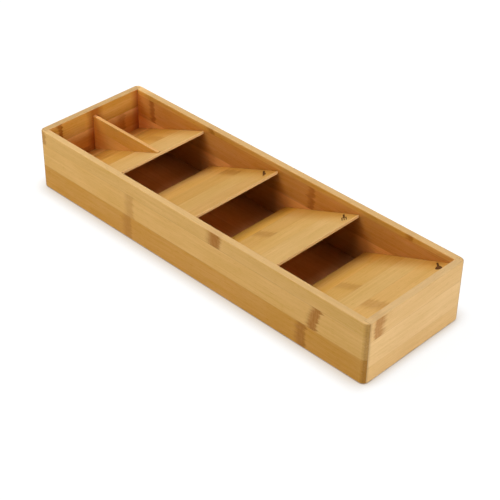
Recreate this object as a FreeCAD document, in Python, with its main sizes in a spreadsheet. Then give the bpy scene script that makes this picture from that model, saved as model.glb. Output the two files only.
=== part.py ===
import FreeCAD, Part
import os
import Sketcher

# Tiered cutlery tray in laminated bamboo: a long open box whose four sloping decks overlap like louvres.
# +X runs to the near end, where the decks are highest, +Y to the back wall and +Z up.
# The origin is under the middle of the tray, on the surface that its feet stand on. Units are millimetres.

doc = FreeCAD.newDocument("cutlery_tray")
dims = doc.addObject("Spreadsheet::Sheet", "dims")

driving = {
    # the box
    "tray_length": 398,
    "tray_width": 121.2,
    "wall_height": 60,
    "wall_thickness": 6.8,
    "corner_radius": 5.5,
    "rim_ease": 1,
    "bottom_ease": 0.6,
    # corner joints: each end wall sits in rabbets of the long walls, which lap over its ends
    "corner_lap": 3,
    "joint_gap": 0.1,
    # base panel, held in a groove all round, and the feet stuck under it
    "base_thickness": 4,
    "base_lift": 2.2,
    "base_tongue": 1.6,
    "foot_diameter": 12,
    "foot_proud": 0.8,
    "foot_inset": 16,
    "foot_ease": 0.5,
    # decks, let into the long walls; the two end decks run on to the end walls
    "deck_thickness": 2.8,
    "deck_inset": 1.5,
    "deck_low": 19.1,
    "deck_drop": 6.95,
    "slot_width": 9.7,
    "end_deck_extra": 6.3,
    "deck_ease": 0.5,
    # divider standing on the far deck
    "divider_thickness": 3.4,
    "divider_drop": 0.2,
    "divider_nose": 0.8,
    "divider_seat": 1,
    "divider_inset": 1.5,
    # pictograms burnt into three of the decks
    "icon_length": 14.4,
    "icon_stroke": 1.6,
    "icon_depth": 0.3,
    "icon_turn": 45,
    "icon_from_edge": 10.45,
    "icon_from_wall": 6.95,
    "spoon_width": 5.8,
    "spoon_tail_width": 4.2,
    "spoon_bowl_length": 7.4,
    "fork_width": 4.4,
    "fork_tine_width": 0.8,
    "fork_tine_length": 5.5,
    "knife_width": 2.6,
    "knife_blade_length": 8,
    "knife_point": 3,
}
for row, (alias, size) in enumerate(driving.items(), start=1):
    dims.set(f"A{row}", str(size))
    dims.setAlias(f"A{row}", alias)
doc.recompute()

# Sizes that follow from the driving ones, as expressions
inner_length = "(dims.tray_length - 2 * dims.wall_thickness)"
inner_width = "(dims.tray_width - 2 * dims.wall_thickness)"
base_top = "(dims.base_lift + dims.base_thickness)"
foot_height = "(dims.base_lift + dims.foot_proud)"
corner_round = "min(dims.corner_radius; dims.wall_thickness - dims.rim_ease)"

deck_names = ["small_items_deck", "knife_deck", "fork_deck", "spoon_deck"]
deck_count = len(deck_names)
deck_run = (f"(({inner_length} - {deck_count - 1} * dims.slot_width - 2 * dims.end_deck_extra)"
            f" / {deck_count})")
deck_top = "(dims.wall_height - dims.deck_drop)"
deck_slope = f"(({deck_top} - dims.deck_low) / {deck_run})"
deck_cosine = f"(1 / sqrt(1 + {deck_slope} ^ 2))"
deck_upright = f"(dims.deck_thickness / {deck_cosine})"

divider_top = f"({deck_top} - dims.divider_drop)"
divider_foot = f"(dims.deck_low - {deck_slope} * dims.end_deck_extra)"
divider_run = f"(({divider_top} - dims.divider_nose - {divider_foot}) / {deck_slope})"


def value(expression):
    return float(dims.evalExpression(expression))


def deckSpan(index):
    """X of a deck's low and top ends, and the height of its top face at the low end."""
    low = f"(-{inner_length} / 2 + dims.end_deck_extra + {index} * ({deck_run} + dims.slot_width))"
    top = f"({low} + {deck_run})"
    height = "dims.deck_low"
    if index == 0:
        low = f"(-{inner_length} / 2)"
        height = divider_foot
    if index == deck_count - 1:
        top = f"({inner_length} / 2)"
    return low, top, height


def newBody(label):
    body = doc.addObject("PartDesign::Body", label)
    body.Label = label
    doc.recompute()
    return body


def place(body, x="0", y="0", z="0"):
    for axis, expression in zip("xyz", (x, y, z)):
        body.setExpression(f"Placement.Base.{axis}", expression)
    doc.recompute()


def newSketch(body, name, role, lift="0"):
    plane = next(feature for feature in body.Origin.OriginFeatures if feature.Role == role)
    sketch = body.newObject("Sketcher::SketchObject", name)
    sketch.AttachmentSupport = [(plane, "")]
    sketch.MapMode = "FlatFace"
    sketch.setExpression("AttachmentOffset.Base.z", lift)
    return sketch


def bindPoint(sketch, geometry, point, x, y):
    for kind, expression in (("DistanceX", x), ("DistanceY", y)):
        bound = sketch.addConstraint(Sketcher.Constraint(kind, -1, 1, geometry, point, value(expression)))
        sketch.setExpression(f"Constraints[{bound}]", expression)


def addPolygon(sketch, corners):
    first = sketch.GeometryCount
    points = [FreeCAD.Vector(value(x), value(y), 0) for x, y in corners]
    for start, end in zip(points, points[1:] + points[:1]):
        sketch.addGeometry(Part.LineSegment(start, end), False)
    for side, (x, y) in enumerate(corners):
        following = first + (side + 1) % len(corners)
        sketch.addConstraint(Sketcher.Constraint("Coincident", first + side, 2, following, 1))
        bindPoint(sketch, first + side, 1, x, y)


def addRectangle(sketch, x0, x1, y0, y1):
    addPolygon(sketch, [(x0, y0), (x1, y0), (x1, y1), (x0, y1)])


def addCircle(sketch, x, y, radius):
    centre = FreeCAD.Vector(value(x), value(y), 0)
    circle = sketch.addGeometry(Part.Circle(centre, FreeCAD.Vector(0, 0, 1), value(radius)), False)
    bindPoint(sketch, circle, 3, x, y)
    bound = sketch.addConstraint(Sketcher.Constraint("Radius", circle, value(radius)))
    sketch.setExpression(f"Constraints[{bound}]", radius)


def pad(body, name, sketch, length, side="One side", back=False):
    feature = body.newObject("PartDesign::Pad", name)
    feature.Profile = sketch
    feature.SideType = side
    feature.Reversed = back
    feature.setExpression("Length", length)
    doc.recompute()


def pocket(body, name, sketch, depth, back=False):
    before = body.Shape.Volume
    feature = body.newObject("PartDesign::Pocket", name)
    feature.Profile = sketch
    feature.Reversed = back
    feature.setExpression("Length", depth)
    doc.recompute()
    if not body.Shape.Volume < before:
        raise RuntimeError(f"{body.Label}: {name} cuts nothing")


def roundEdges(body, name, radius, chosen):
    base = body.Tip
    feature = body.newObject("PartDesign::Fillet", name)
    feature.Base = (base, [f"Edge{i}" for i, edge in enumerate(base.Shape.Edges, start=1) if chosen(edge)])
    feature.setExpression("Radius", radius)
    doc.recompute()


def same(a, b):
    return abs(a - b) < 1e-4


def level(edge, z):
    return same(edge.BoundBox.ZMin, z) and same(edge.BoundBox.ZMax, z)


def easeWall(body, onFace, inside):
    """Round the outer corners, then the rim and the bottom edge of the outside."""
    rim = value("dims.wall_height")
    roundEdges(body, "corner_rounding", corner_round,
               lambda edge: onFace(edge) and same(edge.BoundBox.ZLength, rim))
    roundEdges(body, "rim_rounding", "dims.rim_ease", lambda edge: level(edge, rim) and not inside(edge))
    roundEdges(body, "bottom_rounding", "dims.bottom_ease", lambda edge: level(edge, 0) and not inside(edge))


def longWall(label, front):
    """Side wall, as long as the tray: its inner face is local y = 0, with a slanting groove for each deck,
    one for the base and a rabbet at each end for an end wall."""
    body = newBody(label)
    end = "(dims.tray_length / 2)"
    half = f"({inner_length} / 2)"
    board = newSketch(body, "board_outline", "XZ_Plane")
    addRectangle(board, f"-{end}", end, "0", "dims.wall_height")
    pad(body, "board", board, "dims.wall_thickness", back=not front)

    face = value("dims.wall_thickness") * (-1 if front else 1)
    easeWall(body, lambda edge: same(edge.BoundBox.YMin, face) and same(edge.BoundBox.YMax, face),
             lambda edge: same(edge.BoundBox.YMin, 0) and same(edge.BoundBox.YMax, 0))

    rabbets = newSketch(body, "rabbet_outline", "XZ_Plane")
    addRectangle(rabbets, half, end, "0", "dims.wall_height")
    addRectangle(rabbets, f"-{end}", f"-{half}", "0", "dims.wall_height")
    pocket(body, "rabbets", rabbets, "dims.wall_thickness - dims.corner_lap", back=front)

    rim = value("dims.wall_height")
    roundEdges(body, "inner_rim_rounding", "dims.rim_ease",
               lambda edge: level(edge, rim) and same(edge.BoundBox.YMax, 0) and same(edge.BoundBox.YMin, 0))

    decks = newSketch(body, "deck_groove_outline", "XZ_Plane")
    for index in range(deck_count):
        low, top, height = deckSpan(index)
        low = f"({low} - dims.joint_gap)"
        top = f"({top} + dims.joint_gap)"
        start = f"({height} - {deck_slope} * dims.joint_gap)"
        end = f"({start} + {deck_slope} * ({top} - {low}))"
        under = f"- {deck_upright}"
        over = "+ dims.joint_gap"
        addPolygon(decks, [(low, start + under), (top, end + under), (top, end + over), (low, start + over)])
    pocket(body, "deck_grooves", decks, "dims.deck_inset + dims.joint_gap", back=front)

    base = newSketch(body, "base_groove_outline", "XZ_Plane")
    addRectangle(base, f"-{half}", half, "dims.base_lift", f"{base_top} + dims.joint_gap")
    pocket(body, "base_groove", base, "dims.base_tongue + dims.joint_gap", back=front)
    side = "-1" if front else "1"
    place(body, y=f"{side} * {inner_width} / 2", z="dims.foot_proud")
    return body


def endWall(label, near):
    """End wall, rounded with the corners and cut back to fit the rabbets; its inner face is local x = 0."""
    body = newBody(label)
    half = "(dims.tray_width / 2)"
    board = newSketch(body, "board_outline", "YZ_Plane")
    addRectangle(board, f"-{half}", half, "0", "dims.wall_height")
    pad(body, "board", board, "dims.wall_thickness", back=not near)

    face = value("dims.wall_thickness") * (1 if near else -1)
    easeWall(body, lambda edge: same(edge.BoundBox.XMin, face) and same(edge.BoundBox.XMax, face),
             lambda edge: same(edge.BoundBox.XMin, 0) and same(edge.BoundBox.XMax, 0))

    trim = newSketch(body, "trim_outline", "YZ_Plane")
    fit = f"({half} - dims.corner_lap - dims.joint_gap)"
    addRectangle(trim, fit, half, "0", "dims.wall_height")
    addRectangle(trim, f"-{half}", f"-{fit}", "0", "dims.wall_height")
    pocket(body, "trim", trim, "dims.wall_thickness", back=near)

    base = newSketch(body, "base_groove_outline", "YZ_Plane")
    reach = f"({inner_width} / 2 + dims.base_tongue + dims.joint_gap)"
    addRectangle(base, f"-{reach}", reach, "dims.base_lift", f"{base_top} + dims.joint_gap")
    pocket(body, "base_groove", base, "dims.base_tongue + dims.joint_gap", back=near)

    if not near:
        divider = newSketch(body, "divider_groove_outline", "YZ_Plane")
        cheek = "(dims.divider_thickness / 2 + dims.joint_gap)"
        addRectangle(divider, f"-{cheek}", cheek, divider_foot, f"{divider_top} + dims.joint_gap")
        pocket(body, "divider_groove", divider, "dims.divider_inset + dims.joint_gap", back=near)

    side = "1" if near else "-1"
    place(body, x=f"{side} * {inner_length} / 2", z="dims.foot_proud")
    return body


def basePanel():
    body = newBody("base_panel")
    panel = newSketch(body, "panel_outline", "XY_Plane")
    half_length = f"({inner_length} / 2 + dims.base_tongue)"
    half_width = f"({inner_width} / 2 + dims.base_tongue)"
    addRectangle(panel, f"-{half_length}", half_length, f"-{half_width}", half_width)
    pad(body, "panel", panel, "dims.base_thickness")
    place(body, z="dims.base_lift + dims.foot_proud")
    return body


def foot(label, end, side):
    body = newBody(label)
    disc = newSketch(body, "disc_outline", "XY_Plane")
    addCircle(disc, "0", "0", "dims.foot_diameter / 2")
    pad(body, "disc", disc, foot_height)
    roundEdges(body, "foot_rounding", "dims.foot_ease", lambda edge: level(edge, 0))
    place(body, x=f"{end} * ({inner_length} / 2 - dims.foot_inset)",
          y=f"{side} * ({inner_width} / 2 - dims.foot_inset)")
    return body


def deck(index):
    """Sloping board with upright ends, drawn flat: local x climbs the slope, local z = 0 is the top face."""
    body = newBody(deck_names[index])
    low, top, height = deckSpan(index)
    length = f"(({top} - {low}) / {deck_cosine})"
    lean = f"({deck_slope} * dims.deck_thickness)"
    profile = newSketch(body, "side_profile", "XZ_Plane")
    addPolygon(profile, [("0", "0"), (f"-{lean}", "-dims.deck_thickness"),
                         (f"{length} - {lean}", "-dims.deck_thickness"), (length, "0")])
    pad(body, "board", profile, f"{inner_width} + 2 * dims.deck_inset", side="Symmetric")
    if index > 0:
        roundEdges(body, "low_edge_rounding", "dims.deck_ease",
                   lambda edge: level(edge, 0) and same(edge.BoundBox.XMax, 0))
    if index < deck_count - 1:
        nose = value(length)
        roundEdges(body, "nose_rounding", "dims.deck_ease",
                   lambda edge: level(edge, 0) and same(edge.BoundBox.XMin, nose))
    if index == 0:
        groove = newSketch(body, "divider_groove_outline", "XY_Plane")
        cheek = "(dims.divider_thickness / 2 + dims.joint_gap)"
        reach = f"({divider_run} / {deck_cosine} + dims.joint_gap)"
        addRectangle(groove, "-dims.divider_thickness", reach, f"-{cheek}", cheek)
        pocket(body, "divider_groove", groove, "dims.divider_seat")
    body.Placement = FreeCAD.Placement(FreeCAD.Vector(), FreeCAD.Rotation(FreeCAD.Vector(0, -1, 0), 0))
    body.setExpression("Placement.Rotation.Angle", f"atan({deck_slope})")
    place(body, x=low, z=f"{height} + dims.foot_proud")
    return body


def iconSketch(body, index, name):
    """Sketch on a deck's top face, in its upper back corner, turned so that local x runs to the icon's head."""
    low, top, height = deckSpan(index)
    sketch = newSketch(body, name, "XY_Plane")
    sketch.AttachmentOffset = FreeCAD.Placement(FreeCAD.Vector(), FreeCAD.Rotation(FreeCAD.Vector(0, 0, -1), 0))
    sketch.setExpression("AttachmentOffset.Base.x", f"({top} - dims.icon_from_edge - {low}) / {deck_cosine}")
    sketch.setExpression("AttachmentOffset.Base.y", f"{inner_width} / 2 - dims.icon_from_wall")
    sketch.setExpression("AttachmentOffset.Rotation.Angle", "dims.icon_turn * 1 deg")
    return sketch


def burn(body, index, name, polygons=(), circles=()):
    sketch = iconSketch(body, index, f"{name}_outline")
    for corners in polygons:
        addPolygon(sketch, corners)
    for circle in circles:
        addCircle(sketch, *circle)
    pocket(body, name, sketch, "dims.icon_depth")


def handle(head):
    """Plain bar from the tail of an icon to where its head starts."""
    tail = "-dims.icon_length / 2"
    half = "dims.icon_stroke / 2"
    return [(tail, f"-{half}"), (head, f"-{half}"), (head, half), (tail, half)]


def spoonIcon(body, index):
    """Egg-shaped bowl, from a wide circle at the tip and a narrower one towards the handle."""
    tip = "(dims.icon_length / 2)"
    bowl = "(dims.spoon_width / 2)"
    tail = "(dims.spoon_tail_width / 2)"
    centre = f"({tip} - {bowl})"
    burn(body, index, "icon_bowl", circles=[(centre, "0", bowl)])
    burn(body, index, "icon_bowl_tail", circles=[(f"({tip} - dims.spoon_bowl_length + {tail})", "0", tail)])
    burn(body, index, "icon_handle", polygons=[handle(centre)])


def forkIcon(body, index):
    tip = "(dims.icon_length / 2)"
    half = "(dims.fork_width / 2)"
    tine = "(dims.fork_tine_width / 2)"
    root = f"({tip} - dims.fork_tine_length)"
    shoulder = f"({root} - dims.icon_stroke)"
    burn(body, index, "icon_handle", polygons=[handle(shoulder)])
    burn(body, index, "icon_shoulder",
         polygons=[[(shoulder, f"-{half}"), (root, f"-{half}"), (root, half), (shoulder, half)]])
    tines = []
    for place_in_row in (-1, 0, 1):
        middle = f"({place_in_row} * ({half} - {tine}))"
        lower = f"({middle} - {tine})"
        upper = f"({middle} + {tine})"
        tines.append([(root, lower), (tip, lower), (tip, upper), (root, upper)])
    burn(body, index, "icon_tines", polygons=tines)


def knifeIcon(body, index):
    tip = "(dims.icon_length / 2)"
    back = "(dims.icon_stroke / 2)"
    edge = f"(dims.knife_width - {back})"
    heel = f"({tip} - dims.knife_blade_length)"
    burn(body, index, "icon_handle", polygons=[handle(heel)])
    burn(body, index, "icon_blade",
         polygons=[[(heel, f"-{back}"), (tip, f"-{back}"), (f"{tip} - dims.knife_point", edge), (heel, edge)]])


def divider():
    """Upright board on the far deck, tapering to a low nose: local x = 0 is the far wall's inner face."""
    body = newBody("small_items_divider")
    seat = f"(dims.divider_seat / {deck_cosine})"
    profile = newSketch(body, "side_profile", "XZ_Plane")
    addPolygon(profile, [
        ("-dims.divider_inset", divider_foot),
        ("0", divider_foot),
        ("0", f"{divider_foot} - {seat}"),
        (divider_run, f"{divider_top} - dims.divider_nose - {seat}"),
        (divider_run, divider_top),
        ("-dims.divider_inset", divider_top),
    ])
    pad(body, "board", profile, "dims.divider_thickness", side="Symmetric")
    crest = value(divider_top)
    roundEdges(body, "crest_rounding", "dims.deck_ease",
               lambda edge: level(edge, crest) and edge.BoundBox.XLength > edge.BoundBox.YLength)
    place(body, x=f"-{inner_length} / 2", z="dims.foot_proud")
    return body


pieces = [
    longWall("front_wall", front=True),
    longWall("back_wall", front=False),
    endWall("near_end_wall", near=True),
    endWall("far_end_wall", near=False),
    basePanel(),
]
decks = [deck(index) for index in range(deck_count)]
for index, icon in enumerate((knifeIcon, forkIcon, spoonIcon), start=1):
    icon(decks[index], index)
pieces += decks
pieces.append(divider())
for end_name, end in (("near", 1), ("far", -1)):
    for side_name, side in (("front", -1), ("back", 1)):
        pieces.append(foot(f"foot_{end_name}_{side_name}", end, side))
doc.recompute()

for item in doc.Objects:
    if "Invalid" in item.State or "Error" in item.State:
        raise RuntimeError(f"{item.Label} failed: {item.State}")
for piece in pieces:
    if piece.Shape.isNull() or not piece.Shape.isValid() or len(piece.Shape.Solids) != 1:
        raise RuntimeError(f"{piece.Label} has no single valid solid")

os.makedirs("parts", exist_ok=True)
for piece in pieces:
    piece.Shape.exportStep(f"parts/{piece.Label}.step")
    box = piece.Shape.BoundBox
    print(f"{piece.Label}: {box.XLength:.1f} x {box.YLength:.1f} x {box.ZLength:.1f} mm, "
          f"{piece.Shape.Volume / 1000:.2f} cm3")
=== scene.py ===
import math
import bmesh
import bpy
from mathutils import Matrix, Vector


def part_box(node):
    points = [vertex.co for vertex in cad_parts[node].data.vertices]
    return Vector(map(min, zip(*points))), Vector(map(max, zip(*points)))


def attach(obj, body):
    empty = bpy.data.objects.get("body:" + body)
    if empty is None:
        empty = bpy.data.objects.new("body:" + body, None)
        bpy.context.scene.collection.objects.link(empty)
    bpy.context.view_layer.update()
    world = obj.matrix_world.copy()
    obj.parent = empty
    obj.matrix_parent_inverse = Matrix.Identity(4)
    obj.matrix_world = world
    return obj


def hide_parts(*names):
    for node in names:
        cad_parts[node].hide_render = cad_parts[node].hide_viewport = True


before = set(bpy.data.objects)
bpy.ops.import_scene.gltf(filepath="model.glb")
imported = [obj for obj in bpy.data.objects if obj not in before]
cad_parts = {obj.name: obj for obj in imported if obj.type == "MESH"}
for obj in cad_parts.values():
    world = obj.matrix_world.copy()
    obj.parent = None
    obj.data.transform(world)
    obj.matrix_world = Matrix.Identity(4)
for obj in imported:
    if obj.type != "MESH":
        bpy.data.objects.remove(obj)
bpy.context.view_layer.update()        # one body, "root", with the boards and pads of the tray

scene = bpy.context.scene
scene.view_settings.view_transform = "Standard"
mm = 0.001
white = (1, 1, 1, 1)
deckRise = 0.39626        # height over length: all four decks lean alike
deckSlope = math.atan(deckRise)
smooth = dict(interpolation_type="SMOOTHSTEP")        # settings of Map Range and Mix nodes
blended = dict(take=2, data_type="RGBA")
multiplied = dict(blended, blend_type="MULTIPLY")
print("frame loaded:", len(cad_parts), "nodes")


def linear(hexCode):
    parts = [int(hexCode[i:i + 2], 16) / 255 for i in (1, 3, 5)]
    parts = [c / 12.92 if c <= 0.04045 else ((c + 0.055) / 1.055) ** 2.4 for c in parts]
    return (*parts, 1.0)


def addNode(tree, kind, inputs=None, take=0, **settings):
    node = tree.nodes.new(kind)
    for key, value in settings.items():
        setattr(node, key, value)
    for key, value in (inputs or {}).items():
        if isinstance(value, bpy.types.NodeSocket):
            tree.links.new(value, node.inputs[key])
        else:
            node.inputs[key].default_value = value
    return node.outputs[take] if node.outputs else node


def span(limits):        # from low, from high, to low, to high, numbered as Map Range numbers its sockets
    return dict(enumerate(limits, 1))


def distanceFrom(tree, coordinate, line):
    away = addNode(tree, "ShaderNodeMath", {0: coordinate, 1: line}, operation="SUBTRACT")
    return addNode(tree, "ShaderNodeMath", {0: away}, operation="ABSOLUTE")


def newMaterial(name):
    material = bpy.data.materials.new(name)
    material.use_nodes = True
    material.node_tree.nodes.clear()
    return material, material.node_tree


def addObject(name, data):
    added = bpy.data.objects.new(name, data)
    scene.collection.objects.link(added)
    return added


def shadeSmooth(mesh, sharpDegrees):
    for polygon in mesh.polygons:
        polygon.use_smooth = True
    mesh.set_sharp_from_angle(angle=math.radians(sharpDegrees))


# Camera: the view of the photograph, a long lens from above the near front corner
cameraView = dict(
    sensor=36,        # mm, as the lens
    lens=98.033,
    clip=(0.05, 20),
    place=(0.68680, -0.69585, 0.71242),
    turn=(53.804, -0.830, 44.617),        # degrees
)
cameraData = bpy.data.cameras.new("photoView")
cameraData.sensor_width = cameraView["sensor"]
cameraData.lens = cameraView["lens"]
cameraData.clip_start, cameraData.clip_end = cameraView["clip"]
camera = addObject("photoView", cameraData)
camera.location = cameraView["place"]
camera.rotation_euler = [math.radians(a) for a in cameraView["turn"]]
scene.camera = camera
print("camera set")


# Studio: a white table, large soft boxes high over the far end, the back and the far front, a weak light
# on top, a fill in front and two low cards that light the outer walls as a white room would
softBox = (1.85, 1.85)        # m
lowCard = (1.85, 0.8)
studio = dict(
    table="#F2F2F0",
    tableSize=12.0,
    tableSeen="#6C6C6A",        # what the eye sees of the lit table, with its shadow; the glow adds the rest
    tableGlow=0.93,        # for the eye and for reflections: it lights nothing
    contactReach=0.016,        # the glow fades and warms this near the tray: a painted contact shadow
    contactSamples=16,
    contactFade=(0.5, 1.0),        # how open the table is there, from under the tray's edge to clear of it
    contactShadowTone="#D6CABC",
    cardLift=(0.1985, 0.2095),        # beyond the near end the painted contact shadow is thinned out, for the light of the low card
    gapFade=(0.1, 0.5),        # painted shade in the gap that the pads leave under the walls
    gapShadeTone="#5E4630",
    skyLevel=0.01,
    lampDistance=4.0,
    lampAim=(0, 0, 0.03),
    lamps=(        # bearing and height in degrees, bearing 0 towards the near end, 90 towards the back
        dict(name="keySoftBox", bearing=225, height=48, size=softBox, power=60),
        dict(name="farSoftBox", bearing=180, height=62, size=softBox, power=36),
        dict(name="backSoftBox", bearing=102, height=55, size=softBox, power=41),
        dict(name="topLight", bearing=0, height=88, size=softBox, power=6),
        dict(name="frontFill", bearing=270, height=55, size=softBox, power=16),
        dict(name="nearCard", bearing=355, height=7, size=lowCard, power=88),
        dict(name="frontCard", bearing=270, height=7, size=lowCard, power=12),
    ),
)


def seenDirectly(tree):
    path = tree.nodes.new("ShaderNodeLightPath").outputs
    seen = path["Is Camera Ray"]
    for kind in ("Is Glossy Ray", "Is Transmission Ray"):
        seen = addNode(tree, "ShaderNodeMath", {0: seen, 1: path[kind]}, operation="MAXIMUM")
    return seen


def paleWorld(studio):
    world = bpy.data.worlds.new("paleStudio")
    world.use_nodes = True
    tree = world.node_tree
    tree.nodes.clear()
    sky = addNode(tree, "ShaderNodeBackground", {"Color": white, "Strength": studio["skyLevel"]})
    backdrop = addNode(tree, "ShaderNodeBackground", {"Color": white, "Strength": 1.0})
    mixed = addNode(tree, "ShaderNodeMixShader", {0: seenDirectly(tree), 1: sky, 2: backdrop})
    addNode(tree, "ShaderNodeOutputWorld", {"Surface": mixed})
    return world


def tableMaterial(studio):
    # White matt table top: no pattern of its own, only the shadow of the tray, partly from the lamps and
    # partly painted into its glow
    material, tree = newMaterial("matt_white_table")
    matt = addNode(tree, "ShaderNodeBsdfDiffuse", {"Color": linear(studio["table"])})
    clear = addNode(tree, "ShaderNodeAmbientOcclusion", {"Distance": studio["contactReach"]}, take="AO",
                    samples=studio["contactSamples"])
    outside = addNode(tree, "ShaderNodeMapRange", {0: clear, **span(studio["contactFade"])})
    beneath = addNode(tree, "ShaderNodeMapRange", {0: clear, **span(studio["gapFade"])})
    place = tree.nodes.new("ShaderNodeTexCoord").outputs["Object"]
    along = addNode(tree, "ShaderNodeSeparateXYZ", {0: place}, take="X")
    lift = addNode(tree, "ShaderNodeMapRange", {0: along, **span(studio["cardLift"])})
    tone = addNode(tree, "ShaderNodeMix", {0: outside, 6: linear(studio["contactShadowTone"]), 7: white}, **blended)
    tone = addNode(tree, "ShaderNodeMix", {0: lift, 6: tone, 7: white}, **blended)
    tone = addNode(tree, "ShaderNodeMix", {0: beneath, 6: linear(studio["gapShadeTone"]), 7: tone}, **blended)
    glow = addNode(tree, "ShaderNodeEmission", {"Color": tone, "Strength": studio["tableGlow"]})
    seen = addNode(tree, "ShaderNodeBsdfDiffuse", {"Color": linear(studio["tableSeen"])})
    lit = addNode(tree, "ShaderNodeAddShader", {0: seen, 1: glow})
    mixed = addNode(tree, "ShaderNodeMixShader", {0: seenDirectly(tree), 1: matt, 2: lit})
    addNode(tree, "ShaderNodeOutputMaterial", {"Surface": mixed})
    return material


def buildStudio(studio):
    scene.world = paleWorld(studio)
    half = studio["tableSize"] / 2
    corners = [(-half, -half, 0), (half, -half, 0), (half, half, 0), (-half, half, 0)]
    mesh = bpy.data.meshes.new("table")
    mesh.from_pydata(corners, [], [(0, 1, 2, 3)])
    mesh.materials.append(tableMaterial(studio))
    table = addObject("table", mesh)

    aim = Vector(studio["lampAim"])
    for lamp in studio["lamps"]:
        bearing = math.radians(lamp["bearing"])
        height = math.radians(lamp["height"])
        level = math.cos(height)
        away = Vector((math.cos(bearing) * level, math.sin(bearing) * level, math.sin(height)))
        data = bpy.data.lights.new(lamp["name"], "AREA")
        data.shape = "RECTANGLE"
        data.size, data.size_y = lamp["size"]
        data.energy = lamp["power"]
        lampObject = addObject(lamp["name"], data)
        lampObject.location = aim + away * studio["lampDistance"]
        lampObject.rotation_euler = (-away).to_track_quat("-Z", "Y").to_euler()


buildStudio(studio)
print("studio lit")


# Flat-pressed bamboo under satin lacquer: planed strips about 23 mm wide, glued edge to edge.
# The eye sees a slightly different straw tone in each strip, fine straight fibres, short dark flecks,
# and a brown knuckle across a strip where the cane had a joint. End grain is darker and dotted.
bamboo = dict(
    ior=1.47,
    gleam=0.15,        # specular level: a thin satin coat, not a gloss varnish
    roughness=0.50,
    fibreRough=0.16,        # the spread that the fibres give it
    wornRough=0.25,        # worn and burnt wood is duller by these
    charRough=0.3,

    # Grain: mm along and across the fibres, place in the noise, detail
    streak=(95.0, 2.4, 3.0, 3.0),
    fibre=(38.0, 0.75, 11.0, 2.0),        # real ones are 0.2 to 0.4 mm wide, drawn coarser so that they show
    fleck=(6.0, 0.5, 23.0, 1.0),
    blotch=(46.0, 15.0, 5.0, 2.0),
    wander=(9.0, 4.5, 31.0, 2.0),        # these two are for the knuckles
    wrinkle=(1.3, 9.0, 41.0, 2.0),
    noiseStep=(1.0, 3.1, 1.7),
    noiseRoughness=0.55,
    sway=(80.0, 30.0, 7.0),        # the fibres bend this much, in mm along, across and aside
    caneShift=(61.7, 17.3),        # mm of cane from one strip to the next, and from one board to the next
    fleckCut=(0.60, 0.74),
    toneSwing=(0.20, 0.16, 0.18),        # how far streaks, fibres and blotches lighten and darken the wood
    fleckSwing=-0.12,
    warmth=(0.80, 1.15, 1.12, 0.92),        # saturation of the darkest and the lightest wood

    stripBlend=0.8,        # mm over which one strip's tone gives way to the next
    glueFade=(0.105, 0.35, 1.0, 0.0),        # mm: a real line is 0.1 mm wide, drawn wider so that it shows
    glueFaint=(0.42, 0.64, 0.05, 0.5),        # it comes and goes with the blotches

    comb=10.0,        # mm that a knuckle's edge runs out along the fibres
    knuckleWander=4.0,        # mm
    knuckleRise=(-1.1, -0.1),        # in half widths from its middle
    knuckleFall=(0.4, 0.85, 1.0, 0.0),
    knucklePatches=(0.34, 0.60, 0.8, 1.0),

    # painted shade under the decks, on the inner sides of the long walls
    shadeHeight=52.5,        # mm: a deck's upper edge, at the middle of the board
    shadeFade=(-7.0, 10.0),        # mm before and past that edge
    shadeReach=86.0,        # mm back from it
    endFacing=(0.04, 0.6),        # how squarely a face looks along the fibres
    bundleSpacing=0.9,        # mm between fibre bundles in the end grain
    bundleDots=(0.25, 0.55, 1.0, 0.8),
    # how squarely a face looks up, for the painted light on rims
    rimLightFacing=(0.5, 0.95, 0.0, 0.8),
    wornWithin=(0.15, 1.3),        # mm from an edge
    charDepth=(0.03, 0.12, 0.0, 0.97),        # mm below the face of a deck
    charFloor=1.0,        # mm: what lies deeper is the underside

    knuckleTone="#B98F42",        # these four darken the wood they lie on
    glueTone="#CBBCAA",
    endTone="#BAB4AA",
    shadeTone="#C0C6D3",        # painted shade under the decks
    # wear, and a painted highlight on the eased arrises
    wearHighlightTone="#FACB8A",
    charTone="#55300F",
    relief=0.06,        # mm
    reliefStrength=0.35,
    reliefMix=(0.5, -0.35, -0.2, 0.5),        # fibres, flecks, glue and knuckles, beside 1 for the streaks
)


def boardExtent(node, turn, axes):
    matrix = Matrix.Rotation(turn, 3, "Y")
    points = [matrix @ v.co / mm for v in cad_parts[node].data.vertices]
    sides = ["xyz".index(a) for a in axes]
    return [(min(p[i] for p in points), max(p[i] for p in points)) for i in sides]


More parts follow.
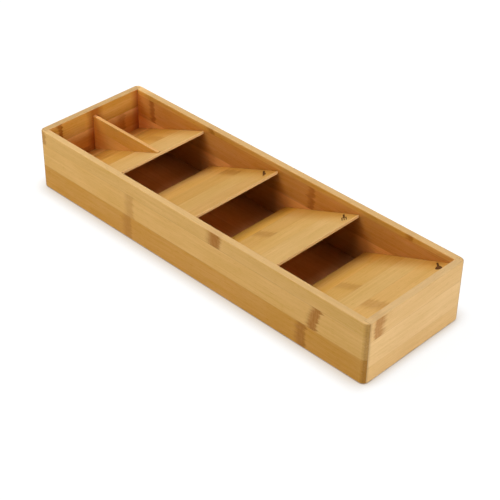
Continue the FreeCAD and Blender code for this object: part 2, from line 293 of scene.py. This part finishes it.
def bambooMaterial(board):
    material, tree = newMaterial("laminated_bamboo_" + board["node"])
    turn = board.get("turn", 0.0)
    place = tree.nodes.new("ShaderNodeTexCoord").outputs["Object"]
    size = addNode(tree, "ShaderNodeMapping", {"Vector": place, "Rotation": (0, turn, 0),
                   "Scale": (1 / mm,) * 3})
    sides = addNode(tree, "ShaderNodeSeparateXYZ", {0: size}).node.outputs
    along, across, through = [sides["xyz".index(a)] for a in board["axes"]]
    extent = boardExtent(board["node"], turn, board["axes"])
    middles = [(low + high) / 2 for low, high in extent]

    # Strips: each glue line starts the next strip, which has its own tone and its own piece of cane
    tone = linear(board["tones"][0])
    strip = 0.0
    glue = 0.0
    for line, nextTone in zip(board["glueLines"], board["tones"][1:]):
        above = addNode(tree, "ShaderNodeMath", {0: across, 1: line}, operation="GREATER_THAN")
        strip = addNode(tree, "ShaderNodeMath", {0: above, 1: strip}, operation="ADD")
        limits = (line - bamboo["stripBlend"], line + bamboo["stripBlend"])
        change = addNode(tree, "ShaderNodeMapRange", {0: across, **span(limits)}, **smooth)
        tone = addNode(tree, "ShaderNodeMix", {0: change, 6: tone, 7: linear(nextTone)}, **blended)
        away = distanceFrom(tree, across, line)
        near = addNode(tree, "ShaderNodeMapRange", {0: away, **span(bamboo["glueFade"])}, **smooth)
        glue = addNode(tree, "ShaderNodeMath", {0: near, 1: glue}, operation="MAXIMUM")

    # Grain: the fibres of a strip sway slightly to the side
    stripShift, boardShift = bamboo["caneShift"]
    offset = addNode(tree, "ShaderNodeMath", {0: strip, 1: stripShift, 2: board["seed"] * boardShift},
                     operation="MULTIPLY_ADD")
    start = addNode(tree, "ShaderNodeMath", {0: along, 1: offset}, operation="ADD")
    length, width, aside = bamboo["sway"]
    sway = addNode(tree, "ShaderNodeCombineXYZ", {0: start, 1: across, 2: through})
    sway = addNode(tree, "ShaderNodeMapping", {"Vector": sway, "Scale": (1 / length, 1 / width, 1 / width)})
    sway = addNode(tree, "ShaderNodeTexNoise", {"Vector": sway, "Scale": 1.0, "Detail": 1.0})
    bent = addNode(tree, "ShaderNodeMath", {0: sway, 1: aside, 2: across}, operation="MULTIPLY_ADD")
    grainPoint = addNode(tree, "ShaderNodeCombineXYZ", {0: start, 1: bent, 2: through})

    def grain(length, width, shift, detail):
        point = addNode(tree, "ShaderNodeMapping", {"Vector": grainPoint,
                        "Location": [shift * step for step in bamboo["noiseStep"]],
                        "Scale": (1 / length, 1 / width, 1 / width)})
        return addNode(tree, "ShaderNodeTexNoise", {"Vector": point, "Scale": 1.0, "Detail": detail,
                       "Roughness": bamboo["noiseRoughness"]})

    streak = grain(*bamboo["streak"])
    fibre = grain(*bamboo["fibre"])
    blotch = grain(*bamboo["blotch"])
    wander = grain(*bamboo["wander"])
    wrinkle = grain(*bamboo["wrinkle"])
    fleck = grain(*bamboo["fleck"])
    fleck = addNode(tree, "ShaderNodeMapRange", {0: fleck, **span(bamboo["fleckCut"])})

    # Knuckles: brown, within one strip, combed out along the fibres on one side and sharper on the other
    knuckle = 0.0
    edges = [extent[1][0], *board["glueLines"], extent[1][1]]
    for at, stripIndex, halfWidth, strength, lean in board["knuckles"]:
        stripMiddle = (edges[stripIndex] + edges[stripIndex + 1]) / 2
        begin = lean * stripMiddle - at - (bamboo["knuckleWander"] + bamboo["comb"]) / 2
        local = begin
        for part, reach in ((across, -lean), (wander, bamboo["knuckleWander"]), (streak, bamboo["comb"])):
            local = addNode(tree, "ShaderNodeMath", {0: part, 1: reach, 2: local}, operation="MULTIPLY_ADD")
        local = addNode(tree, "ShaderNodeMath", {0: along, 1: local}, operation="ADD")
        local = addNode(tree, "ShaderNodeMath", {0: local, 1: 1 / halfWidth}, operation="MULTIPLY")
        band = addNode(tree, "ShaderNodeMapRange", {0: local, **span(bamboo["knuckleRise"])}, **smooth)
        fall = addNode(tree, "ShaderNodeMapRange", {0: local, **span(bamboo["knuckleFall"])}, **smooth)
        inStrip = addNode(tree, "ShaderNodeMath", {0: strip, 1: float(stripIndex), 2: 0.1},
                          operation="COMPARE")
        for mask in (fall, strength, inStrip):
            band = addNode(tree, "ShaderNodeMath", {0: band, 1: mask}, operation="MULTIPLY")
        knuckle = addNode(tree, "ShaderNodeMath", {0: band, 1: knuckle}, operation="MAXIMUM")
    patchy = addNode(tree, "ShaderNodeMapRange", {0: wrinkle, **span(bamboo["knucklePatches"])})
    knuckle = addNode(tree, "ShaderNodeMath", {0: knuckle, 1: patchy}, operation="MULTIPLY")

    # Tone of the wood: the grain lightens and darkens it, darker wood is a little warmer
    level = 1.0 - sum(bamboo["toneSwing"]) / 2        # the grain averages one half
    swings = (*bamboo["toneSwing"], bamboo["fleckSwing"])
    for part, swing in zip((streak, fibre, blotch, fleck), swings):
        level = addNode(tree, "ShaderNodeMath", {0: part, 1: swing, 2: level}, operation="MULTIPLY_ADD")
    warmth = addNode(tree, "ShaderNodeMapRange", {0: level, **span(bamboo["warmth"])})
    if "drift" in board:        # the tone pales or darkens slowly along or across the board: painted light towards the far end on the back wall and divider, painted shade towards the back wall on the base panel
        axis, *limits = board["drift"]
        gain = addNode(tree, "ShaderNodeMapRange", {0: (along, across)[axis], **span(limits)})
        level = addNode(tree, "ShaderNodeMath", {0: level, 1: gain}, operation="MULTIPLY")
    wood = addNode(tree, "ShaderNodeHueSaturation", {"Color": tone, "Value": level, "Saturation": warmth})
    faint = addNode(tree, "ShaderNodeMapRange", {0: blotch, **span(bamboo["glueFaint"])})
    faint = addNode(tree, "ShaderNodeMath", {0: glue, 1: faint}, operation="MULTIPLY")
    for mask, markTone in ((faint, bamboo["glueTone"]), (knuckle, bamboo["knuckleTone"])):
        wood = addNode(tree, "ShaderNodeMix", {0: mask, 6: wood, 7: linear(markTone)}, **multiplied)

    # Painted shade: under each deck the inner side of a wall is drawn browner, fading out past the deck's
    # upper edge
    inner = addNode(tree, "ShaderNodeMath", {0: through, 1: middles[2]},
                    operation="LESS_THAN" if middles[2] > 0 else "GREATER_THAN")
    fadeStart, fadeEnd = bamboo["shadeFade"]
    for nose in board.get("shadeUnder", ()):
        slope = addNode(tree, "ShaderNodeMath", {0: along, 1: deckRise,
                        2: bamboo["shadeHeight"] - nose * deckRise}, operation="MULTIPLY_ADD")
        under = addNode(tree, "ShaderNodeMath", {0: across, 1: slope}, operation="LESS_THAN")
        reach = addNode(tree, "ShaderNodeMath", {0: along, 1: nose - bamboo["shadeReach"]},
                        operation="GREATER_THAN")
        limits = (nose + fadeStart, nose + fadeEnd, 1.0, 0.0)
        shade = addNode(tree, "ShaderNodeMapRange", {0: along, **span(limits)}, **smooth)
        for mask in (reach, inner, under):
            shade = addNode(tree, "ShaderNodeMath", {0: shade, 1: mask}, operation="MULTIPLY")
        wood = addNode(tree, "ShaderNodeMix", {0: shade, 6: wood, 7: linear(bamboo["shadeTone"])},
                       **multiplied)

    # Painted shade: the wood is drawn browner around these lines, in the corners where shade gathers
    for line, near, far, cornerShadeTone in board.get("corners", ()):
        away = distanceFrom(tree, along, line)
        shadeInCorner = addNode(tree, "ShaderNodeMapRange", {0: away, **span((near, far, 1.0, 0.0))})
        if not turn:        # on a wall only the inner side
            shadeInCorner = addNode(tree, "ShaderNodeMath", {0: shadeInCorner, 1: inner}, operation="MULTIPLY")
        wood = addNode(tree, "ShaderNodeMix", {0: shadeInCorner, 6: wood, 7: linear(cornerShadeTone)}, **multiplied)

    # End grain, where the face looks along the fibres
    normal = tree.nodes.new("ShaderNodeNewGeometry").outputs["Normal"]
    facing = addNode(tree, "ShaderNodeSeparateXYZ", {0: normal}).node.outputs
    endOn = addNode(tree, "ShaderNodeMath", {0: facing["xyz".index(board["axes"][0])]}, operation="ABSOLUTE")
    endOn = addNode(tree, "ShaderNodeMapRange", {0: endOn, **span(bamboo["endFacing"])})
    section = addNode(tree, "ShaderNodeCombineXYZ", {0: across, 1: through, 2: board["seed"]})
    bundle = addNode(tree, "ShaderNodeTexVoronoi", {"Vector": section, "Scale": 1 / bamboo["bundleSpacing"]})
    bundle = addNode(tree, "ShaderNodeMapRange", {0: bundle, **span(bamboo["bundleDots"])})
    for mask in (bundle, board.get("endGrain", 1.0)):
        endOn = addNode(tree, "ShaderNodeMath", {0: endOn, 1: mask}, operation="MULTIPLY")
    wood = addNode(tree, "ShaderNodeMix", {0: endOn, 6: wood, 7: linear(bamboo["endTone"])}, **multiplied)

    # Painted light: the faces of a rim that look up, and on a deck the faces of its upper edge that look to
    # the near end, are drawn paler
    if "rimLightTone" in board:
        outward = facing["xyz".index(board.get("rimFacing", "z"))]
        outward = addNode(tree, "ShaderNodeMapRange", {0: outward, **span(bamboo["rimLightFacing"])}, **smooth)
        rimLit = addNode(tree, "ShaderNodeHueSaturation", {"Color": linear(board["rimLightTone"]), "Value": level})
        wood = addNode(tree, "ShaderNodeMix", {0: outward, 6: wood, 7: rimLit}, **blended)

    # Edges that hands and cutlery rub are paler and duller, and the paler tone also stands for the light that
    # the eased arrises catch: wear and painted highlight. The second nearest side says how near one is
    inside = []
    for coordinate, (low, high), middle in zip((along, across, through), extent, middles):
        away = distanceFrom(tree, coordinate, middle)
        inside.append(addNode(tree, "ShaderNodeMath", {0: (high - low) / 2, 1: away}, operation="SUBTRACT"))
    lesser = addNode(tree, "ShaderNodeMath", {0: inside[1], 1: inside[2]}, operation="MINIMUM")
    greater = addNode(tree, "ShaderNodeMath", {0: inside[1], 1: inside[2]}, operation="MAXIMUM")
    greater = addNode(tree, "ShaderNodeMath", {0: greater, 1: inside[0]}, operation="MINIMUM")
    second = addNode(tree, "ShaderNodeMath", {0: lesser, 1: greater}, operation="MAXIMUM")
    limits = (*bamboo["wornWithin"], board["edgeWearAndHighlight"], 0.0)
    wornAndLit = addNode(tree, "ShaderNodeMapRange", {0: second, **span(limits)}, **smooth)
    wornAndLit = addNode(tree, "ShaderNodeMath", {0: wornAndLit, 1: blotch}, operation="MULTIPLY")
    if turn:        # on a deck only the upper edge, the low one is out of reach
        upper = addNode(tree, "ShaderNodeMath", {0: across, 1: middles[1]}, operation="GREATER_THAN")
        wornAndLit = addNode(tree, "ShaderNodeMath", {0: wornAndLit, 1: upper}, operation="MULTIPLY")
    wood = addNode(tree, "ShaderNodeMix", {0: wornAndLit, 6: wood, 7: linear(bamboo["wearHighlightTone"])}, **blended)
    gloss = bamboo["roughness"] - bamboo["fibreRough"] / 2
    for part, spread in ((fibre, bamboo["fibreRough"]), (wornAndLit, bamboo["wornRough"])):
        gloss = addNode(tree, "ShaderNodeMath", {0: part, 1: spread, 2: gloss}, operation="MULTIPLY_ADD")

    # Burnt pictogram: the charred, dull floor of the shallow recess in a deck
    if "pictogram" in board:
        iconAlong, iconAcross, reach = board["pictogram"]
        depth = addNode(tree, "ShaderNodeMath", {0: extent[2][1], 1: through}, operation="SUBTRACT")
        burn = addNode(tree, "ShaderNodeMapRange", {0: depth, **span(bamboo["charDepth"])})
        for coordinate, centre, limit in ((along, iconAlong, reach), (across, iconAcross, reach),
                                          (depth, 0.0, bamboo["charFloor"])):
            within = addNode(tree, "ShaderNodeMath", {0: coordinate, 1: centre, 2: limit},
                             operation="COMPARE")
            burn = addNode(tree, "ShaderNodeMath", {0: burn, 1: within}, operation="MULTIPLY")
        wood = addNode(tree, "ShaderNodeMix", {0: burn, 6: wood, 7: linear(bamboo["charTone"])}, **blended)
        gloss = addNode(tree, "ShaderNodeMath", {0: burn, 1: bamboo["charRough"], 2: gloss},
                        operation="MULTIPLY_ADD")

    height = streak
    for part, weight in zip((fibre, fleck, glue, knuckle), bamboo["reliefMix"]):
        height = addNode(tree, "ShaderNodeMath", {0: part, 1: weight, 2: height}, operation="MULTIPLY_ADD")
    relief = addNode(tree, "ShaderNodeBump", {"Strength": bamboo["reliefStrength"],
                     "Distance": bamboo["relief"] * mm, "Height": height})
    surface = addNode(tree, "ShaderNodeBsdfPrincipled", {"Base Color": wood, "Roughness": gloss,
                      "IOR": bamboo["ior"], "Specular IOR Level": bamboo["gleam"], "Normal": relief})
    addNode(tree, "ShaderNodeOutputMaterial", {"Surface": surface})
    return material


# Sanded arrises of every board, in mm and degrees
boardEdge = dict(ease=0.18, segments=2, sharpAngle=40, smoothAngle=50, merge=0.002)


def easedBoard(board):
    shape = bmesh.new()
    shape.from_mesh(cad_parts[board["node"]].data)
    bmesh.ops.remove_doubles(shape, verts=shape.verts, dist=boardEdge["merge"] * mm)
    limit = math.radians(boardEdge["sharpAngle"])
    arrises = [e for e in shape.edges if len(e.link_faces) == 2 and e.calc_face_angle() > limit]
    bmesh.ops.bevel(shape, geom=arrises, offset=boardEdge["ease"] * mm, offset_type="OFFSET",
                    segments=boardEdge["segments"], profile=0.5, affect="EDGES", clamp_overlap=False)
    low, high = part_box(board["node"])
    for vertex in shape.verts:        # the eased edges stay within the board
        vertex.co = [min(max(c, a), b) for c, a, b in zip(vertex.co, low, high)]
    mesh = bpy.data.meshes.new(board["node"] + "_board")
    shape.to_mesh(mesh)
    shape.free()
    mesh.materials.append(bambooMaterial(board))
    shadeSmooth(mesh, boardEdge["smoothAngle"])
    piece = addObject(board["node"] + "_board", mesh)
    flat = piece.modifiers.new("flatFaces", "WEIGHTED_NORMAL")
    flat.keep_sharp = True
    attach(piece, "root")
    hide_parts(board["node"])


# Boards: places in mm in the tray's frame, turned to the slope for a deck
# axes: along the fibres, across the strips, through the board
# glueLines: places across; tones: one for each strip, one more than glue lines
# knuckles: place along, strip, half width, strength, lean; a negative half width turns the sharp side round
# drift: 0 for along or 1 for across, first and last place, gain at each
# corners: place along, full within, gone beyond, tone of a painted corner shade
# pictogram: place along and across, half size
deckNoses = (-100.2, -4.9, 90.5)        # upper edges of the three decks that end in the open
backFace = 53.8        # inner face of the back wall
towardsFarEnd = (0, -190.0, -174.0, 1.25, 1.0)        # drift of two boards drawn paler there: painted light in the far compartments

frontWall = dict(
    node="front_wall", slot="long_wall_bamboo", axes="xzy", seed=1,
    glueLines=(24.5, 47.5), tones=("#D39A46", "#E7B669", "#E4B468"),
    rimLightTone="#ECC284", edgeWearAndHighlight=0.2, drift=(0, -199.0, 199.0, 1.05, 0.95), shadeUnder=deckNoses,
    knuckles=((-75, 1, 8, 0.35, 0.0), (-79, 0, 8, 0.35, 0.0), (144, 1, 8, 0.86, 0.25), (131, 0, 8, 0.6, 0.0),
              (32, 2, 11, 0.88, 0.1), (-194, 2, 6, 0.5, 0.0)),
)
backWall = dict(
    node="back_wall", slot="long_wall_bamboo", axes="xzy", seed=2,
    glueLines=(32.8, 55.6), tones=("#EDA95F", "#D18F45", "#DAA14E"),
    rimLightTone="#ECC285", edgeWearAndHighlight=0.25, drift=towardsFarEnd, shadeUnder=deckNoses,
    knuckles=((-171, 1, 5, 0.7, 0.0), (36, 1, 6, 0.6, 0.0), (-90, 2, 6, 0.6, 0.0), (145, 2, 6, 0.6, 0.0),
              (-60, 0, 7, 0.5, 0.0), (160, 0, 7, 0.5, 0.0)),
)
nearEndWall = dict(
    node="near_end_wall", slot="end_wall_bamboo", axes="yzx", seed=3,
    glueLines=(16.5, 42.0), tones=("#E5BB7D", "#E8C085", "#E3B97C"),
    rimLightTone="#EAC186", edgeWearAndHighlight=0.15,
    knuckles=((-46.5, 2, -9, 0.72, 0.1),),
)
farEndWall = dict(
    node="far_end_wall", slot="end_wall_bamboo", axes="yzx", seed=4,
    # its two lower strips are paler than the top one, in part painted light in the deep far compartments
    glueLines=(24.0, 42.0), tones=("#F8C279", "#F7BE74", "#D79C49"),
    rimLightTone="#DCB57D", edgeWearAndHighlight=0.5,
    corners=((backFace, 1.5, 9.0, "#D6B2AA"), (0.0, 3.0, 11.0, "#D0AE95")),        # painted shade in the corners at the back wall and at the divider
    knuckles=((32, 1, 7, 0.45, 0.0), (-42, 2, 4, 0.9, 0.0), (-12, 0, 7, 0.5, 0.0)),
)
for board in (frontWall, backWall, nearEndWall, farEndWall):
    easedBoard(board)
print("walls done")

deckStock = dict(
    slot="deck_bamboo", axes="yxz", turn=deckSlope,
    rimLightTone="#F5D094", rimFacing="x", edgeWearAndHighlight=1.0,        # the rim of a deck is its upper edge
)
# on every deck the corners entry paints shade beside the back wall
smallItemsDeck = dict(
    deckStock, node="small_items_deck", seed=5,
    # its second and third strips are darker, in part painted shade of the divider and the far end wall
    glueLines=(-153.8, -131.0, -108.2), tones=("#EDB562", "#C58D3D", "#D19B49", "#DEB16B"),
    corners=((backFace, 3.0, 20.0, "#F8EED2"),),
    knuckles=((30, 2, 9, 0.3, 0.0), (-20, 1, 9, 0.25, 0.0)),
)
knifeDeck = dict(
    deckStock, node="knife_deck", seed=6,
    glueLines=(-48.9, -26.4, -3.9), tones=("#DDAA5E", "#D4A358", "#D9AC64", "#D8A862"),
    corners=((backFace, 3.0, 20.0, "#F0E0B0"),),
    knuckles=((43, 1, 8, 0.35, 0.0),),
    pictogram=(46.9, 4.1, 10.0),
)
forkDeck = dict(
    deckStock, node="fork_deck", seed=7,
    glueLines=(29.5, 51.9, 73.4), tones=("#DCA74E", "#DAAB62", "#E0B36A", "#E2B772"),
    corners=((backFace, 3.0, 20.0, "#F0E0B0"),),
    knuckles=((-0.2, 1, 8, 0.35, 0.0),),
    pictogram=(46.9, 92.8, 10.0),
)
spoonDeck = dict(
    deckStock, node="spoon_deck", seed=8,
    glueLines=(123.9, 147.4, 170.9), tones=("#DBA654", "#DCAD61", "#E1B66F", "#E2B268"),
    corners=((backFace, 3.0, 20.0, "#ECD9AE"),),
    knuckles=((-26, 3, 10, 0.35, 0.0), (-6, 1, 8, 0.3, 0.0)),
    pictogram=(46.9, 188.2, 10.0),
)
for board in (smallItemsDeck, knifeDeck, forkDeck, spoonDeck):
    easedBoard(board)
print("decks done")

divider = dict(
    node="small_items_divider", slot="divider_bamboo", axes="xzy", seed=9,
    glueLines=(40.0,), tones=("#EBB05F", "#E2A84D"),
    rimLightTone="#EDB26E", edgeWearAndHighlight=0.6, endGrain=0.2, drift=towardsFarEnd,
    knuckles=(),
)
basePanel = dict(
    node="base_panel", slot="base_bamboo", axes="xyz", seed=10,
    glueLines=(-35.0, -11.7, 11.6, 34.9), tones=("#F3B77C", "#F6BB80", "#F5B97E", "#F7BC82", "#F3B77B"),
    # its drift is painted shade, darker towards the back wall under the decks
    edgeWearAndHighlight=0.5, drift=(1, 18.0, 52.0, 1.0, 0.55),
    knuckles=((-120, 0, 7, 0.6, 0.0), (40, 1, 7, 0.7, 0.0), (-60, 2, 7, 0.6, 0.0), (120, 3, 7, 0.7, 0.0)),
)
for board in (divider, basePanel):
    easedBoard(board)
print("divider and base done")


# Pads: moulded silicone discs, each on a wider round of adhesive under the base
pads = dict(
    spacing=(352.4, 75.6),        # mm between centres
    height=3.0,
    radius=6.0,
    sides=64,
    rings=31,
    outline=((0.0, 0.88), (0.03, 0.925), (0.09, 0.953), (0.17, 0.96), (0.74, 0.96), (0.78, 1.0), (1.0, 1.0)),
    smoothAngle=45,        # degrees
    tone="#B4AFA6",
    grimeTone="#7D776D",
    cloudSize=4.0,        # mm
    gritSize=0.4,
    ringPitch=1.25,        # grip rings moulded in the sole
    soleFade=(0.02, 0.3, 1.0, 0.0),        # mm over the table
    grimeFade=(0.1, 1.4, 0.7, 0.1),
    roughness=0.62,
    gritRough=0.16,        # the spread that the grit gives it
    gritRelief=0.25,        # beside 1 for the rings
    relief=0.12,        # mm
    reliefStrength=0.5,
    ior=1.41,
)


def siliconeMaterial(pads):
    # Matt silicone rubber: an even warm grey, slightly cloudy, with dust caught at its lower edge
    material, tree = newMaterial("matt_silicone_rubber")
    place = tree.nodes.new("ShaderNodeTexCoord").outputs["Object"]
    size = addNode(tree, "ShaderNodeMapping", {"Vector": place, "Scale": (1 / mm,) * 3})
    cloud = addNode(tree, "ShaderNodeTexNoise", {"Vector": size, "Scale": 1 / pads["cloudSize"],
                    "Detail": 3.0})
    grit = addNode(tree, "ShaderNodeTexNoise", {"Vector": size, "Scale": 1 / pads["gritSize"],
                   "Detail": 2.0})
    sides = addNode(tree, "ShaderNodeSeparateXYZ", {0: size}).node.outputs
    offset = []
    for side, spacing in zip(sides[:2], pads["spacing"]):
        side = addNode(tree, "ShaderNodeMath", {0: side}, operation="ABSOLUTE")
        offset.append(addNode(tree, "ShaderNodeMath", {0: side, 1: spacing / 2}, operation="SUBTRACT"))
    centred = addNode(tree, "ShaderNodeCombineXYZ", {0: offset[0], 1: offset[1]})
    radius = addNode(tree, "ShaderNodeVectorMath", {0: centred}, take="Value", operation="LENGTH")
    ring = addNode(tree, "ShaderNodeMath", {0: radius, 1: math.tau / pads["ringPitch"]}, operation="MULTIPLY")
    ring = addNode(tree, "ShaderNodeMath", {0: ring}, operation="SINE")
    sole = addNode(tree, "ShaderNodeMapRange", {0: sides[2], **span(pads["soleFade"])})
    ring = addNode(tree, "ShaderNodeMath", {0: ring, 1: sole}, operation="MULTIPLY")
    low = addNode(tree, "ShaderNodeMapRange", {0: sides[2], **span(pads["grimeFade"])})
    dust = addNode(tree, "ShaderNodeMath", {0: low, 1: cloud}, operation="MULTIPLY")
    tone = addNode(tree, "ShaderNodeMix", {0: dust, 6: linear(pads["tone"]), 7: linear(pads["grimeTone"])},
                   **blended)
    gloss = addNode(tree, "ShaderNodeMath", {0: grit, 1: pads["gritRough"],
                    2: pads["roughness"] - pads["gritRough"] / 2}, operation="MULTIPLY_ADD")
    height = addNode(tree, "ShaderNodeMath", {0: grit, 1: pads["gritRelief"], 2: ring},
                     operation="MULTIPLY_ADD")
    relief = addNode(tree, "ShaderNodeBump", {"Strength": pads["reliefStrength"],
                     "Distance": pads["relief"] * mm, "Height": height})
    surface = addNode(tree, "ShaderNodeBsdfPrincipled", {"Base Color": tone, "Roughness": gloss,
                      "IOR": pads["ior"], "Normal": relief})
    addNode(tree, "ShaderNodeOutputMaterial", {"Surface": surface})
    return material


def padTree(pads):
    tree = bpy.data.node_groups.new("padsOnGrid", "GeometryNodeTree")
    tree.interface.new_socket("Pads", in_out="OUTPUT", socket_type="NodeSocketGeometry")
    for name, kind in (("Radius", "Float"), ("Height", "Float"), ("Spacing X", "Float"),
                       ("Spacing Y", "Float"), ("Sides", "Int"), ("Rings", "Int"), ("Rubber", "Material")):
        tree.interface.new_socket(name, in_out="INPUT", socket_type="NodeSocket" + kind)
    given = tree.nodes.new("NodeGroupInput").outputs
    # one pad: an upright line, swept with a circle that the outline narrows and widens
    top = addNode(tree, "ShaderNodeCombineXYZ", {2: given["Height"]})
    line = addNode(tree, "GeometryNodeCurvePrimitiveLine", {"End": top})
    line = addNode(tree, "GeometryNodeResampleCurve", {"Curve": line, "Count": given["Rings"]})
    factor = addNode(tree, "GeometryNodeSplineParameter")
    outline = tree.nodes.new("ShaderNodeFloatCurve")
    points = outline.mapping.curves[0].points
    while len(points) < len(pads["outline"]):
        points.new(0.5, 0.5)
    for point, at in zip(points, pads["outline"]):
        point.location = at
        point.handle_type = "VECTOR"
    outline.mapping.update()
    tree.links.new(factor, outline.inputs["Value"])
    circle = addNode(tree, "GeometryNodeCurvePrimitiveCircle", {"Resolution": given["Sides"],
                     "Radius": given["Radius"]})
    pad = addNode(tree, "GeometryNodeCurveToMesh", {"Curve": line, "Profile Curve": circle,
                  "Scale": outline.outputs[0], "Fill Caps": True})
    grid = addNode(tree, "GeometryNodeMeshGrid", {"Size X": given["Spacing X"], "Size Y": given["Spacing Y"],
                   "Vertices X": 2, "Vertices Y": 2})
    placed = addNode(tree, "GeometryNodeInstanceOnPoints", {"Points": grid, "Instance": pad})
    real = addNode(tree, "GeometryNodeRealizeInstances", {"Geometry": placed})
    dressed = addNode(tree, "GeometryNodeSetMaterial", {"Geometry": real, "Material": given["Rubber"]})
    addNode(tree, "NodeGroupOutput", {0: dressed})
    return tree


def buildPads(pads):
    maker = addObject("padMaker", bpy.data.meshes.new("padMaker"))
    modifier = maker.modifiers.new("padsOnGrid", "NODES")
    modifier.node_group = padTree(pads)
    values = {
        "Radius": pads["radius"] * mm, "Height": pads["height"] * mm,
        "Spacing X": pads["spacing"][0] * mm, "Spacing Y": pads["spacing"][1] * mm,
        "Sides": pads["sides"], "Rings": pads["rings"], "Rubber": siliconeMaterial(pads),
    }
    for item in modifier.node_group.interface.items_tree:
        if item.in_out == "INPUT":
            modifier[item.identifier] = values[item.name]
    evaluated = maker.evaluated_get(bpy.context.evaluated_depsgraph_get())
    mesh = bpy.data.meshes.new_from_object(evaluated)
    mesh.name = "silicone_pads"
    bpy.data.objects.remove(maker)
    shape = bmesh.new()
    shape.from_mesh(mesh)
    bmesh.ops.recalc_face_normals(shape, faces=shape.faces)
    shape.to_mesh(mesh)
    shape.free()
    shadeSmooth(mesh, pads["smoothAngle"])
    piece = addObject("silicone_pads", mesh)
    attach(piece, "root")
    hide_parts("foot_near_front", "foot_near_back", "foot_far_front", "foot_far_back")


buildPads(pads)
print("pads done")
